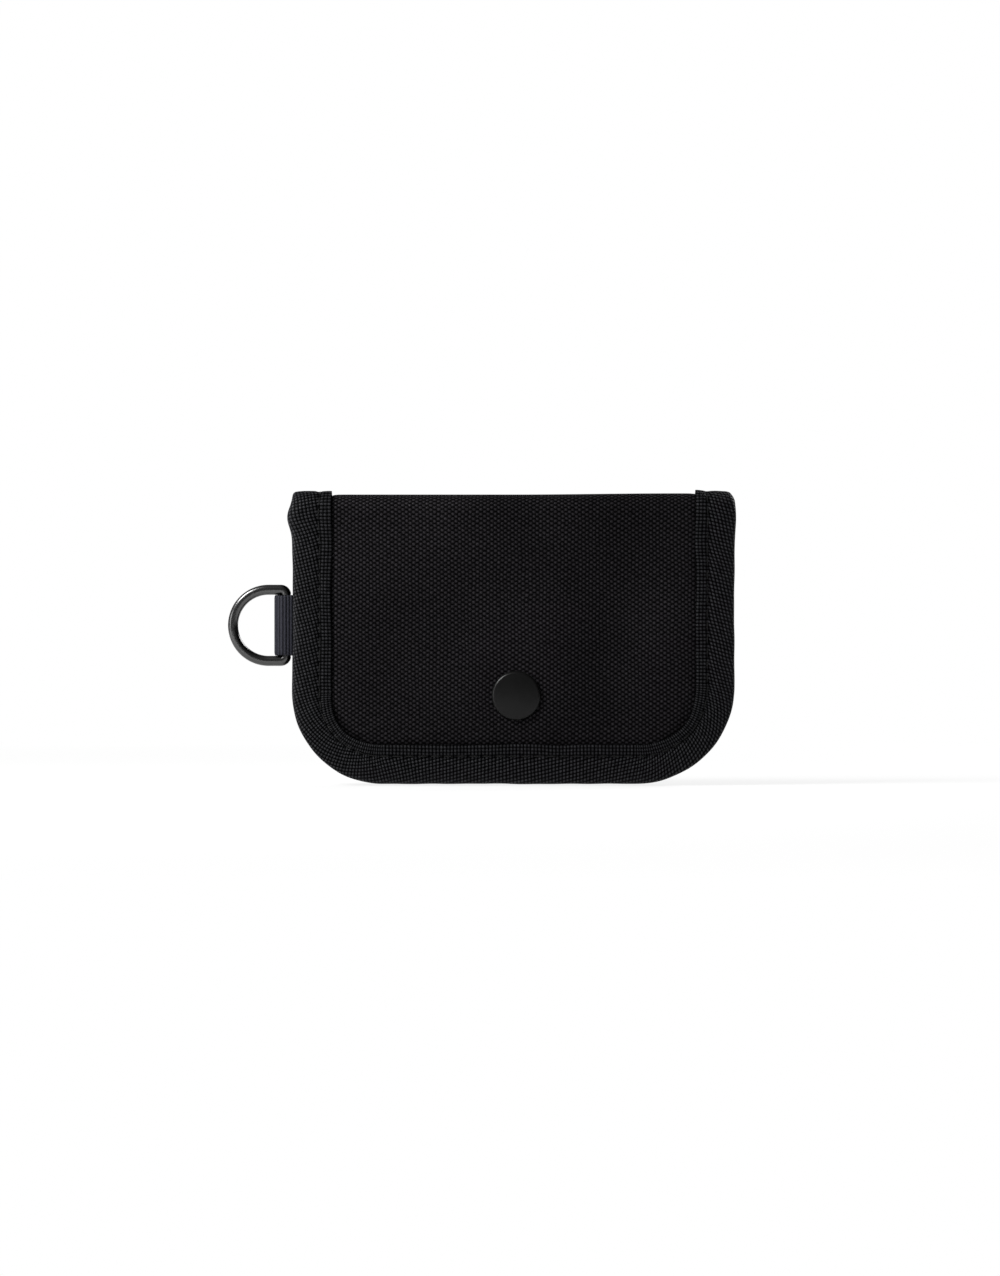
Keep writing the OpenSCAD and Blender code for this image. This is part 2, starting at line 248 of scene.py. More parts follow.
class Piece:
    """Points in millimetres with their faces, "cloth" coordinates and painted "shade" (0 to 1)."""

    def __init__(self):
        self.points = []
        self.cloth = []
        self.shade = []
        self.faces = []
        self.slots = []
        self.count = 0

    def add_points(self, points, cloth, shade=0.0):
        start = self.count
        cloth = np.broadcast_to(cloth, points.shape)
        self.shade.append(np.broadcast_to(shade, points.shape[:-1]).ravel())
        self.points.append(points.reshape(-1, 3))
        self.cloth.append(cloth.reshape(-1, 3))
        self.count += points.size // 3
        return start

    def add_faces(self, faces, slot=0):
        self.faces.extend(faces)
        self.slots.extend([slot] * len(faces))

    def surface(self, points, cloth, slot=0, loop_rows=False, loop_columns=False, shade=0.0):
        """A grid of points (rows x columns x 3), open or closed each way."""
        start = self.add_points(points, cloth, shade)
        grid = start + point_numbers(points)
        if loop_rows:
            grid = np.concatenate([grid, grid[:1]], 0)
        if loop_columns:
            grid = np.concatenate([grid, grid[:, :1]], 1)
        corners = [grid[:-1, :-1], grid[:-1, 1:], grid[1:, 1:], grid[1:, :-1]]
        self.add_faces(np.stack(corners, -1).reshape(-1, 4).tolist(), slot)
        return start

    def tube(self, points, cloth, slot=0):
        """A grid that is closed round its columns and capped at both ends."""
        grid = self.surface(points, cloth, slot, loop_columns=True) + point_numbers(points)
        self.add_faces([grid[0].tolist(), grid[-1].tolist()], slot)

    def sheet(self, outer, inner, cloth, slot=0, shade=0.0):
        """A sheet with thickness between two grids, closed along its rims."""
        a = self.surface(outer, cloth, slot, shade=shade)
        b = self.surface(inner, cloth, slot)
        grid = point_numbers(outer)
        rim = np.concatenate([grid[:, 0], grid[-1, 1:], grid[-2::-1, -1], grid[0, -2:0:-1]])
        ahead = np.roll(rim, -1)
        self.add_faces(np.stack([a + rim, a + ahead, b + ahead, b + rim], -1).tolist(), slot)

    def build(self, name, materials, sharp_deg=50):
        """Makes the Blender object, in metres."""
        mesh = bpy.data.meshes.new(name)
        mesh.from_pydata((np.concatenate(self.points) * MM).tolist(), [], self.faces)
        for material in materials:
            mesh.materials.append(material)
        mesh.polygons.foreach_set("material_index", self.slots)
        attribute = mesh.attributes.new("cloth", "FLOAT_VECTOR", "POINT")
        attribute.data.foreach_set("vector", np.concatenate(self.cloth).astype(np.float32).ravel())
        shade = mesh.attributes.new("shade", "FLOAT", "POINT")
        shade.data.foreach_set("value", np.concatenate(self.shade).astype(np.float32))
        work = bmesh.new()
        work.from_mesh(mesh)
        bmesh.ops.recalc_face_normals(work, faces=work.faces)
        work.to_mesh(mesh)
        work.free()
        mesh.polygons.foreach_set("use_smooth", [True] * len(mesh.polygons))
        mesh.set_sharp_from_angle(angle=math.radians(sharp_deg))
        return add_object(name, mesh)


def unit(vectors):
    return vectors / np.linalg.norm(vectors, axis=-1, keepdims=True)


def grid_normals(points):
    """Unit normals of a grid of points."""
    return unit(np.cross(np.gradient(points, axis=1), np.gradient(points, axis=0)))


def run_along(line):
    """Length along a line of points, at each of them."""
    return np.concatenate([[0], np.cumsum(np.linalg.norm(np.diff(line, axis=0), axis=1))])


def read_along(at, run, values):
    """Rows of values, which go with run, at the lengths in at."""
    return np.stack([np.interp(at, run, part) for part in values.T], 1)


def beside(*parts):
    """Joins groups of columns side by side, each repeated to the same number of rows."""
    rows = max(len(part) for part in parts)
    return np.concatenate([np.broadcast_to(part, (rows, part.shape[1])) for part in parts], 1)


# Sewing: length from one needle hole to the next, and the gap the thread leaves at a hole
STITCH_PITCH = 4.8
STITCH_GAP = 0.75
THREAD_R = 0.27


def add_stitches(piece, line, normal, pitch, slot, radius=THREAD_R):
    """Sews along a line of points: short threads that dip into the cloth at both ends."""
    run = run_along(line)
    lift = radius * np.array([-1.4, -0.3, 0.1, 0.1, -0.3, -1.4])
    corners = np.linspace(0, 2 * math.pi, 6, endpoint=False)
    for k in range(int(run[-1] / pitch)):
        begin = (k + 0.5) * pitch - (pitch - STITCH_GAP) / 2
        at = np.linspace(begin, begin + pitch - STITCH_GAP, len(lift))
        up = unit(read_along(at, run, normal))
        centre = read_along(at, run, line) + up * lift[:, None]
        side = unit(np.cross(np.gradient(centre, axis=0), up))
        ring = (centre[:, None] + radius * (side[:, None] * np.cos(corners)[None, :, None]
                                            + up[:, None] * np.sin(corners)[None, :, None]))
        piece.tube(ring, triples(at[:, None], 0.0, 0.0), slot)


# ---- Materials ----

class Nodes:
    """Short names for the few node types that the materials and the world use."""

    def __init__(self, tree):
        self.tree = tree

    def new(self, kind):
        return self.tree.nodes.new(kind)

    def put(self, target, value):
        if isinstance(value, bpy.types.NodeSocket):
            self.tree.links.new(value, target)
        else:
            target.default_value = value

    def math(self, operation, first, second=0.0, third=0.0):
        node = self.new("ShaderNodeMath")
        node.operation = operation
        for socket, value in zip(node.inputs, (first, second, third)):
            self.put(socket, value)
        return node.outputs[0]

    def product(self, first, *others):
        for other in others:
            first = self.math("MULTIPLY", first, other)
        return first

    def ramp(self, value, from_min, from_max, to_min, to_max):
        """Straight ramp between two values, held level beyond them."""
        node = self.new("ShaderNodeMapRange")
        for socket, given in zip(node.inputs, (value, from_min, from_max, to_min, to_max)):
            self.put(socket, given)
        return node.outputs[0]

    def place(self, space):
        return self.new("ShaderNodeTexCoord").outputs[space]

    def ray(self, kind):
        return self.new("ShaderNodeLightPath").outputs[kind]


class Shader(Nodes):
    """The nodes of one material, which starts as a Principled BSDF."""

    def __init__(self, name):
        self.material = bpy.data.materials.new(name)
        self.material.use_nodes = True
        super().__init__(self.material.node_tree)
        self.bsdf = self.tree.nodes["Principled BSDF"]

    def mix(self, factor, dark, light):
        node = self.new("ShaderNodeMix")
        node.data_type = "RGBA"
        self.put(node.inputs["Factor"], factor)
        self.put(node.inputs["A"], dark)
        self.put(node.inputs["B"], light)
        return node.outputs["Result"]

    def cloth(self):
        """The three parts of the mesh's "cloth" coordinate, in millimetres."""
        node = self.new("ShaderNodeAttribute")
        node.attribute_name = "cloth"
        split = self.new("ShaderNodeSeparateXYZ")
        self.put(split.inputs[0], node.outputs["Vector"])
        return split.outputs

    def shade(self):
        """The mesh's "shade", a painted shade: 1 where the cloth is darkest."""
        node = self.new("ShaderNodeAttribute")
        node.attribute_name = "shade"
        return node.outputs["Fac"]

    def noise(self, scale, detail=2.0, vector=None):
        node = self.new("ShaderNodeTexNoise")
        self.put(node.inputs["Scale"], scale)
        self.put(node.inputs["Detail"], detail)
        self.put(node.inputs["Vector"], vector or self.place("Object"))
        return node.outputs["Fac"]

    def streaks(self, across, up, across_scale, up_scale, detail):
        """Noise that is stretched along one way of the cloth."""
        node = self.new("ShaderNodeCombineXYZ")
        self.put(node.inputs["X"], self.math("MULTIPLY", across, across_scale))
        self.put(node.inputs["Y"], self.math("MULTIPLY", up, up_scale))
        return self.noise(1.0, detail, node.outputs[0])

    def threads(self, length, pitch, wander):
        """Counts threads along a length; wander strays them from their even places."""
        return self.math("ADD", self.math("DIVIDE", length, pitch), wander)

    def unshaded(self, shade):
        """Share of its colour that the cloth keeps under this painted shade."""
        return self.math("MULTIPLY_ADD", shade, -0.9, 1.0)

    def bump(self, height, distance_mm):
        node = self.new("ShaderNodeBump")
        self.put(node.inputs["Distance"], distance_mm * MM)
        self.put(node.inputs["Height"], height)
        return node.outputs[0]

    def finish(self, colour, roughness, **others):
        self.put(self.bsdf.inputs["Base Color"], colour)
        self.put(self.bsdf.inputs["Roughness"], roughness)
        for name, value in others.items():
            self.put(self.bsdf.inputs[name.replace("_", " ")], value)
        return self.material

    def sine(self, turns):
        """Sine that changes sign at every whole number."""
        return self.math("SINE", self.math("MULTIPLY", turns, math.pi))

    def plain_weave(self, across, up, gap_level):
        """Height of a plain weave, 0 to 1, where across and up count threads.

        Floats and pits alternate along and across; gap_level is the height
        between two upright threads.
        """
        a, b = self.sine(across), self.sine(up)
        crossing = self.math("MULTIPLY_ADD", self.math("MULTIPLY", a, b), 0.48, gap_level)
        return self.math("MULTIPLY_ADD", self.math("ABSOLUTE", a), 0.52 - gap_level, crossing)

    def even_weave(self, across, up, ribbed):
        """Height of a close, square weave: a round knuckle at every crossing.

        Where ribbed is over 0 the knuckles run together into ribs along "up".
        """
        a = self.math("ABSOLUTE", self.sine(across))
        b = self.math("ABSOLUTE", self.sine(up))
        level = self.math("MULTIPLY_ADD", self.math("SUBTRACT", 1.0, b), ribbed, b)
        return self.math("MULTIPLY", a, level)


def grey(level, tint=(1.0, 1.0, 1.0)):
    return (level * tint[0], level * tint[1], level * tint[2], 1.0)


# How far the threads stray from their even places, in thread pitches
WANDER = 0.9


def woven_cloth(name, pitch, tint, dark, light, gap_level, bump_mm, roughness=0.42, sheen=0.0,
                specular=0.10):
    """Plain-woven cloth, whose threads run along the mesh's cloth coordinate.

    dark and light are the colours of its pits and of its raised threads.
    """
    s = Shader(name)
    x, y, _ = s.cloth()
    wander = s.math("MULTIPLY_ADD", s.noise(90.0), WANDER, -WANDER / 2)
    across = s.threads(x, pitch[0], wander)
    up = s.threads(y, pitch[1], wander)
    weave = s.plain_weave(across, up, gap_level)
    thread = s.streaks(across, up, 0.9, 0.45, detail=1.0)
    fibre = s.streaks(across, up, 5.0, 2.2, detail=2.0)
    patch = s.noise(28.0, 3.0)
    # The last factor darkens the colour with the mesh's painted shade
    level = s.product(s.math("POWER", weave, 1.25),
                      s.math("MULTIPLY_ADD", thread, 1.3, 0.35),
                      s.math("MULTIPLY_ADD", patch, 0.9, 0.55),
                      s.unshaded(s.shade()))
    gloss = s.math("MULTIPLY", level, specular)
    colour = s.mix(level, grey(dark, tint), grey(light, tint))
    relief = s.math("MULTIPLY_ADD", fibre, 0.18, weave)
    return s.finish(colour, roughness, Normal=s.bump(relief, bump_mm), Sheen_Weight=sheen,
                    Sheen_Roughness=0.45, Specular_IOR_Level=gloss)


# The tape's weave is held square by the seam and pulled askew outside it
TAPE_SKEW = math.tan(math.radians(15))
TAPE_LEAN = math.tan(math.radians(14))


def binding_cloth(name, tint, dark, light):
    """Binding tape: cloth = (run along the edge, width from the tape's inner line, skew)."""
    s = Shader(name)
    run, width, skew = s.cloth()
    past_seam = s.math("MAXIMUM", s.math("SUBTRACT", width, TAPE_OUTER_W - TAPE_STITCH), 0.0)
    outside = s.math("GREATER_THAN", past_seam, 0.0)
    seam_shade = s.math("MULTIPLY_ADD", outside, 0.22, 0.78)
    wander = s.math("MULTIPLY_ADD", s.noise(50.0), WANDER, -WANDER / 2)
    askew = s.math("ADD", run, s.product(past_seam, skew, TAPE_SKEW))
    leaning = s.math("ADD", width, s.product(outside, run, TAPE_LEAN))
    across = s.threads(askew, TAPE_PITCH, wander)
    up = s.threads(leaning, TAPE_PITCH, wander)
    weave = s.even_weave(across, up, s.math("MULTIPLY_ADD", outside, -0.2, 0.2))
    thread = s.streaks(across, up, 0.8, 0.8, detail=1.0)
    fibre = s.streaks(across, up, 4.0, 4.0, detail=2.0)
    level = s.product(s.math("POWER", weave, 1.6), s.math("MULTIPLY_ADD", thread, 1.6, 0.2))
    nose = s.math("SUBTRACT", width, TAPE_OUTER_W)
    worn = s.math("DIVIDE", 1.0, s.math("ADD", 1.0, s.math("MULTIPLY", nose, nose)))
    worn = s.math("MULTIPLY", worn, s.noise(120.0, 3.0))
    level = s.math("MULTIPLY_ADD", worn, 0.5, level)
    # The mesh's painted shade darkens the tape's colour
    level = s.product(level, seam_shade, s.unshaded(s.shade()))
    gloss = s.math("MULTIPLY", level, 0.16)
    colour = s.mix(level, grey(dark, tint), grey(light, tint))
    relief = s.math("MULTIPLY_ADD", fibre, 0.2, weave)
    return s.finish(colour, 0.5, Normal=s.bump(relief, 0.2), Specular_IOR_Level=gloss)


def grosgrain(name):
    """Ribbed webbing: cloth = (run along the webbing, place across it)."""
    s = Shader(name)
    run, across, _ = s.cloth()
    rib = s.math("ABSOLUTE", s.sine(s.math("DIVIDE", run, WEBBING_RIB)))
    thread = s.math("ABSOLUTE", s.sine(s.math("DIVIDE", across, WEBBING_THREAD)))
    fibre = s.streaks(run, across, 6.0, 1.4, detail=2.0)
    level = s.math("MULTIPLY", s.math("POWER", rib, 0.8), s.math("MULTIPLY_ADD", fibre, 0.9, 0.5))
    tint = (0.88, 0.90, 1.25)
    colour = s.mix(level, grey(0.003, tint), grey(0.024, tint))
    relief = s.math("MULTIPLY_ADD", s.math("ADD", thread, fibre), 0.35, rib)
    return s.finish(colour, 0.55, Normal=s.bump(relief, 0.15), Specular_IOR_Level=0.12)


def sewing_thread():
    s = Shader("sewing_thread")
    twist = s.sine(s.math("DIVIDE", s.cloth()[0], THREAD_TWIST / 2))
    colour = s.mix(s.math("MULTIPLY_ADD", twist, 0.3, 0.5), grey(0.002), grey(0.012))
    return s.finish(colour, 0.55, Normal=s.bump(twist, 0.05), Specular_IOR_Level=0.1)


def foam_sheet():
    s = Shader("foam_cells")
    cells = s.noise(900.0, 4.0)
    colour = s.mix(cells, grey(0.05), grey(0.16))
    return s.finish(colour, 0.9, Normal=s.bump(cells, 0.3))


def coated_metal(name, low, high, metallic, roughness, edge_wear, specular=0.5, uneven=0.16):
    """Black coated metal with a fine orange peel and slightly paler worn edges."""
    s = Shader(name)
    peel = s.noise(2200.0, 2.0)
    patch = s.noise(160.0, 4.0)
    pointed = s.new("ShaderNodeNewGeometry").outputs["Pointiness"]
    edge = s.math("MULTIPLY", s.math("SUBTRACT", pointed, 0.5), edge_wear)
    edge = s.math("MULTIPLY", s.math("MAXIMUM", edge, 0.0), patch)
    colour = s.mix(s.math("MULTIPLY_ADD", patch, 0.6, edge), grey(low), grey(high))
    rough = s.math("MULTIPLY_ADD", patch, uneven, roughness - uneven / 2)
    return s.finish(colour, rough, Normal=s.bump(peel, 0.003), Metallic=metallic,
                    Specular_IOR_Level=specular)


outer_cloth = woven_cloth("outer_cloth_weave", CLOTH_PITCH, tint=(1.06, 0.96, 1.10),
                          dark=0.0001, light=0.0182, gap_level=0.20, bump_mm=0.20)
tape_cloth = binding_cloth("binding_tape_weave", tint=(0.98, 0.98, 1.10), dark=0.0001, light=0.0225)
lining_cloth = woven_cloth("lining_weave", LINING_PITCH, tint=(1.0, 1.0, 1.06),
                           dark=0.005, light=0.024, gap_level=0.50, bump_mm=0.10,
                           roughness=0.45, sheen=0.1, specular=0.25)
pocket_cloth = woven_cloth("pocket_weave", POCKET_PITCH, tint=(1.0, 0.98, 1.05),
                           dark=0.003, light=0.032, gap_level=0.45, bump_mm=0.15,
                           roughness=0.6, sheen=0.05)
ribbon_cloth = woven_cloth("pocket_trim_weave", RIBBON_PITCH, tint=(0.98, 0.98, 1.08),
                           dark=0.003, light=0.032, gap_level=0.30, bump_mm=0.15,
                           roughness=0.55, sheen=0.05)
webbing_cloth = grosgrain("webbing_grosgrain")
thread_black = sewing_thread()
foam_grey = foam_sheet()
ring_metal = coated_metal("ring_satin_black", low=0.075, high=0.105, metallic=1.0,
                          roughness=0.22, edge_wear=3.0, uneven=0.05)
cap_enamel = coated_metal("cap_matte_black", low=0.003, high=0.006, metallic=0.0,
                          roughness=0.29, edge_wear=4.0, specular=0.17, uneven=0.08)
snap_metal = coated_metal("snap_black_oxide", low=0.05, high=0.12, metallic=1.0,
                          roughness=0.35, edge_wear=6.0)
spring_metal = coated_metal("spring_bright", low=0.45, high=0.6, metallic=1.0,
                            roughness=0.25, edge_wear=2.0)


# ---- Cloth simulation ----

# The sheet is simulated at ten times its size, pushed out by a gravity of its own
SIM_SCALE = 10
SIM_FRAMES = 24
SIM_PUSH = 2.0
SIM_CLOTH = {
    "quality": 6,
    "mass": 0.25,
    "tension_stiffness": 30,
    "compression_stiffness": 30,
    "shear_stiffness": 10,
    "bending_stiffness": 1.5,
    "shrink_min": -0.004,
    "vertex_group_mass": "held",
}


def cloth_lift(x, height, held, lift_mm):
    """How far a sheet lifts, in mm, when it is pushed out but for its held points.

    A short cloth simulation of the flat sheet gives the shape, and its highest
    point is scaled to lift_mm.
    """
    scene = bpy.context.scene
    points = triples(x, height, 0.0) * SIM_SCALE
    points[..., 2] += 0.15 * np.sin(x * 0.11 + 1.0) * np.sin(height * 0.13)
    flat = Piece()
    flat.surface(points, np.zeros(3))
    sheet = flat.build("simulated_sheet", [])
    group = sheet.vertex_groups.new(name="held")
    group.add(np.flatnonzero(held.ravel()).tolist(), 1.0, "REPLACE")
    cloth = sheet.modifiers.new("cloth", "CLOTH")
    for setting, value in SIM_CLOTH.items():
        setattr(cloth.settings, setting, value)
    cloth.point_cache.frame_end = SIM_FRAMES
    gravity = tuple(scene.gravity)
    scene.gravity = (0, 0, SIM_PUSH)
    for number in range(1, SIM_FRAMES + 1):
        scene.frame_set(number)
    shown = sheet.evaluated_get(bpy.context.evaluated_depsgraph_get())
    rested = np.zeros(len(sheet.data.vertices) * 3)
    shown.data.vertices.foreach_get("co", rested)
    lift = rested.reshape(-1, 3)[:, 2].reshape(x.shape)
    scene.gravity = gravity
    scene.frame_set(1)
    bpy.data.objects.remove(sheet)
    lift = np.where(held, 0, np.maximum(lift, 0))
    return lift_mm * lift / max(lift.max(), 1e-9)


# ---- Cover, lining and foam ----

# Depth of the line that keeps its length where the layers bend over the fold
BEND_DEPTH = 1.2
# Grids: the cover is finer than the lining and the pockets
COVER_COLUMNS, COVER_ROW_STEP = 111, 1.5
INNER_COLUMNS, INNER_ROW_STEP = 91, 2.0
LIFT_MM = 0.45
# Depth of the cover's face beside the tape
FIELD_DEPTH = {"back": 0.40, "flap": 0.30}
# The flap's cloth swells out in one broad upright wave
SWELLING = 0.65
SWELLING_AT = 1
SWELLING_LENGTH = 98
# A soft band of painted shade leans up to the right from beside the snap
BAND_X, BAND_LEAN, BAND_REACH = 29, 0.12, 13
# Smallest gaps between the layers, and the foam's least thickness
COVER_GAP = 0.06
FOAM_GAP = 0.04
FOAM_MIN_T = 0.3


def waves(side, x, height):
    """Soft upright waves of the loose cloth, outward from its even face."""
    if side == "back":
        return 0.16 * ripple(x + 0.5 * height, 2.1, (83, 47, 29))
    swelling = SWELLING * (1 + np.cos(2 * math.pi * (x - SWELLING_AT) / SWELLING_LENGTH))
    slant = 0.12 * np.sin(2 * math.pi * (x - 0.5 * height) / 57 + 0.8)
    return swelling + slant + 0.08 * ripple(x + 0.8 * height, 2.1, (37, 23))


def cover_depth(side, x, height, lift):
    """Depth of the outer cloth's face: under the tape, in its groove, and in the field."""
    inset = inset_at(x, height)
    past_tape = np.maximum(inset - TAPE_OUTER_W, 0)
    groove = (0.36 - 0.12 * np.tanh(x / 30)) * np.exp(-past_tape / 0.9)
    under_tape = 0.15 * smooth(TAPE_OUTER_W, TAPE_OUTER_W - 1.0, inset)
    loose = smooth(15, 32, inset) * smooth(FOLD_Z + 3, FOLD_Z - 14, height)
    if side == "flap":
        loose = loose * smooth(CAP_R - 3, CAP_R + 12, from_snap(x, height))
    lower_fold = 0.45 * smooth(60, 0, x) * smooth(FOLD_Z, CROWN, height)
    sunk = FIELD_DEPTH[side] + groove + under_tape + lower_fold
    return sunk - lift - waves(side, x, height) * loose


def blend_half(made, side):
    """Bakes the piece's placement into its mesh; the points at the foot of the fold and at the
    crown are worked out but not used.
    """
    foot = wrap(side, 0, FOLD_Z, BEND_DEPTH) * MM
    crown = wrap(side, 0, CROWN, BEND_DEPTH) * MM
    if side == "back":
        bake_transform(made)
    else:
        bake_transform(made)


def cover_painted_shade(side, x, height):
    """Painted shade: a dark line beside the tape, where the tape's edge shades the cloth, darker on
    the left and wider by the fold's left end, and a soft band of painted shade on the flap.
    """
    past_tape = np.maximum(inset_at(x, height) - TAPE_OUTER_W, 0)
    # Painted shade along the tape's inner edge, widest where the seam opens by the fold's left end
    by_fold = smooth(0, -30, x) * np.exp(-((height - 44) / 9) ** 2)
    shade = np.exp(-past_tape / (0.6 + 0.9 * by_fold)) * (0.55 - 0.25 * np.tanh(x / 30))
    if side == "flap":
        # Painted shade: a soft band leaning up to the right from beside the snap
        shade = shade + 0.20 * np.exp(-((x - BAND_LEAN * height - BAND_X) / BAND_REACH) ** 2)
    return np.minimum(shade, 1)


def build_cover(side):
    """Outer cloth from the bottom edge up to the crown, with the foam behind it."""
    x, height = panel_grid(LAYER_INSET, CROWN, COVER_COLUMNS, COVER_ROW_STEP)
    held = (inset_at(x, height) < TAPE_OUTER_W + 0.6) | (height > FOLD_Z - 1)
    if side == "flap":
        held = held | (from_snap(x, height) < CAP_R - 0.5)
    depth = cover_depth(side, x, height, cloth_lift(x, height, held, LIFT_MM))
    inner_depth = np.minimum(depth + SHELL_T, LINING_DEPTH - COVER_GAP)
    piece = Piece()
    piece.sheet(wrap(side, x, height, depth), wrap(side, x, height, inner_depth),
                flat_cloth(x, height), shade=cover_painted_shade(side, x, height))
    cover = piece.build(f"outer_cloth_{side}", [outer_cloth])
    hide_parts(*{"back": ["shell_back", "shell_spine"], "flap": ["shell_flap"]}[side])
    blend_half(cover, side)
    build_foam(side, x, height, depth + SHELL_T)


def build_foam(side, cover_x, cover_height, cover_inner):
    """Foam between the cover's inner face, given on the cover's grid, and the lining."""
    padded = (inset_at(cover_x, cover_height) > FOAM_INSET) & (cover_height < FOLD_Z - 1.5)
    rows = np.flatnonzero(padded.any(axis=1))
    height = cover_height[rows]
    x = spread(height, FOAM_INSET, COVER_COLUMNS)
    front = np.stack([np.interp(*row) for row in zip(x, cover_x[rows], cover_inner[rows])])
    front = np.minimum(front + FOAM_GAP, LINING_DEPTH - FOAM_MIN_T)
    piece = Piece()
    piece.sheet(wrap(side, x, height, front),
                wrap(side, x, height, LINING_DEPTH - FOAM_GAP), np.zeros(3))
    pad = piece.build(f"foam_pad_{side}", [foam_grey])
    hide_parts(f"foam_{side}")
    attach(pad, side)


def build_lining(side):
    """Thin lining on the inner side, up to the crown, a little loose in the middle."""
    x, height = panel_grid(LAYER_INSET, CROWN, INNER_COLUMNS, INNER_ROW_STEP)
    inset = inset_at(x, height)
    lift = cloth_lift(x, height, (inset < TAPE_INNER_W + 1) | (height > FOLD_Z), LIFT_MM)
    loose = smooth(12, 24, inset) * smooth(FOLD_Z + 2, FOLD_Z - 8, height)
    loose = loose * smooth(8, 16, from_snap(x, height))
    creases = 0.14 * (1 + ripple(x - 0.8 * height, 0.7, (37, 23, 13)))
    depth = LINING_DEPTH + (lift + creases) * loose
    piece = Piece()
    piece.sheet(wrap(side, x, height, depth), wrap(side, x, height, depth + LINING_T),
                flat_cloth(x, height))
    lining = piece.build(f"lining_{side}_cloth", [lining_cloth])
    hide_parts(*{"back": ["lining_back", "lining_spine"], "flap": ["lining_flap"]}[side])
    blend_half(lining, side)


# ---- Binding tape ----

PATH_STEP = 0.6
# How far the tape stands proud of each panel's face
PROUD = {"back": 0.10, "flap": 0.35}
# The seam sinks into the tape, deepest at the needle holes, and the tape puffs up beside it
SEAM_DEPTH = 0.24
INNER_SEAM_DEPTH = 0.15
PUFF = 0.24
INNER_SEAM = 1.6


def edge_path():
    """The bound edge from the left end of the crown round the bottom to the right end.

    Returns run, x, height, the inward direction (nx, nh) and how far the edge
    stands out from its even line, one row for each point.
    """
    left_r, right_r = CORNER_R[LEFT], CORNER_R[RIGHT]
    left_z, right_z = BOTTOM + left_r, BOTTOM + right_r
    parts = []

    def straight(x0, h0, x1, h1, nx, nh):
        count = int(math.hypot(x1 - x0, h1 - h0) / PATH_STEP) + 1
        t = np.linspace(0, 1, count, endpoint=False)
        parts.append(np.stack([x0 + (x1 - x0) * t, h0 + (h1 - h0) * t,
                               np.full(count, nx), np.full(count, nh)], 1))

    def corner(cx, ch, r, from_deg):
        count = int(r * math.pi / 2 / PATH_STEP)
        turn = np.radians(from_deg) + np.linspace(0, math.pi / 2, count, endpoint=False)
        parts.append(np.stack([cx + r * np.cos(turn), ch + r * np.sin(turn),
                               -np.cos(turn), -np.sin(turn)], 1))

    straight(-HALF_W, CROWN, -HALF_W, left_z, 1.0, 0.0)
    corner(-HALF_W + left_r, left_z, left_r, 180)
    straight(-HALF_W + left_r, BOTTOM, HALF_W - right_r, BOTTOM, 0.0, 1.0)
    corner(HALF_W - right_r, right_z, right_r, 270)
    straight(HALF_W, right_z, HALF_W, CROWN, -1.0, 0.0)
    parts.append(np.array([[HALF_W, CROWN, -1.0, 0.0]]))
    path = np.concatenate(parts)
    x, height, nx, nh = path.T
    run = run_along(path[:, :2])
    out = np.where(x < 0, swell(height, LEFT), swell(height, RIGHT)) * np.abs(nx)
    out = out + 0.16 * ripple(run, 0.4)
    return (value[:, None] for value in (run, x, height, nx, nh, out))


